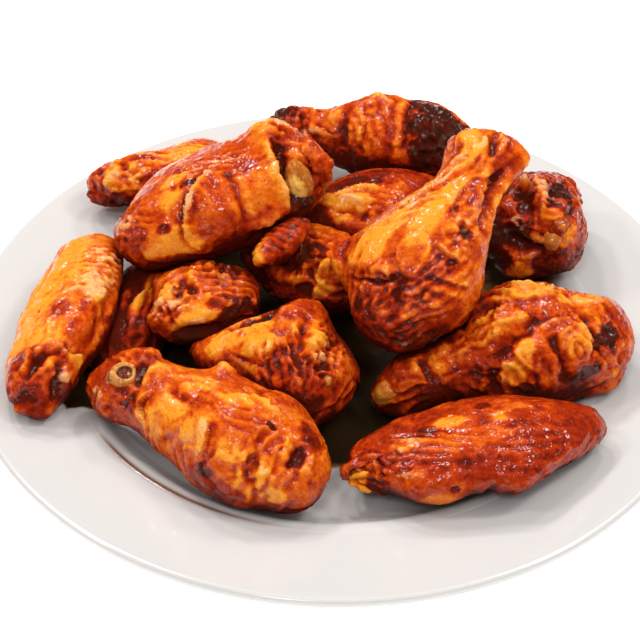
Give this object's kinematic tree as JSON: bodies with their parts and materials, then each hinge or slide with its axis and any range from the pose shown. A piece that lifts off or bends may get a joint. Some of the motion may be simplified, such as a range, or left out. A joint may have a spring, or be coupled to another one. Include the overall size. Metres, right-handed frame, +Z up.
{
  "type": "chicken wings serving",
  "caption": "Heap of glazed roast chicken wings, drumettes and flats, lying on a round white dinner plate with a shallow well and a wide rim.",
  "frame": {"origin": "middle of the plate's foot ring, on the surface that the plate stands on", "axes": "+Z up out of the well, +Y towards the back of the heap, where the long drumette lies on the rim, +X towards the wings on the right"},
  "size_m": [0.26, 0.26, 0.0839],
  "materials": {
    "plate_china": "glossy white glazed china",
    "skin_flat_left": "roast chicken skin with a sticky red-brown glaze",
    "skin_drumette_front_left": "roast chicken skin with a sticky red-brown glaze",
    "skin_flat_front_right": "roast chicken skin with a sticky red-brown glaze",
    "skin_drumette_right": "roast chicken skin with a sticky red-brown glaze",
    "skin_wing_deep_left": "roast chicken skin with a sticky red-brown glaze",
    "skin_flat_centre_left": "roast chicken skin with a sticky red-brown glaze",
    "skin_drumette_centre": "roast chicken skin with a sticky red-brown glaze",
    "skin_wing_deep_centre": "roast chicken skin with a sticky red-brown glaze",
    "skin_drumette_back_left": "roast chicken skin with a sticky red-brown glaze",
    "skin_flat_back": "roast chicken skin with a sticky red-brown glaze",
    "skin_drumette_right_back": "roast chicken skin with a sticky red-brown glaze",
    "skin_drumette_back": "roast chicken skin with a sticky red-brown glaze",
    "skin_drumette_top_left": "roast chicken skin with a sticky red-brown glaze",
    "skin_strand_centre_left": "roast chicken skin with a sticky red-brown glaze",
    "skin_drumette_top_right": "roast chicken skin with a sticky red-brown glaze"
  },
  "bodies": {
    "root": {"plate": "plate_china", "flat_left": "skin_flat_left", "drumette_front_left": "skin_drumette_front_left", "flat_front_right": "skin_flat_front_right", "drumette_right": "skin_drumette_right", "wing_deep_left": "skin_wing_deep_left", "flat_centre_left": "skin_flat_centre_left", "drumette_centre": "skin_drumette_centre", "wing_deep_centre": "skin_wing_deep_centre", "drumette_back_left": "skin_drumette_back_left", "flat_back": "skin_flat_back", "drumette_right_back": "skin_drumette_right_back", "drumette_back": "skin_drumette_back", "drumette_top_left": "skin_drumette_top_left", "strand_centre_left": "skin_strand_centre_left", "drumette_top_right": "skin_drumette_top_right"}
  },
  "joints": []
}
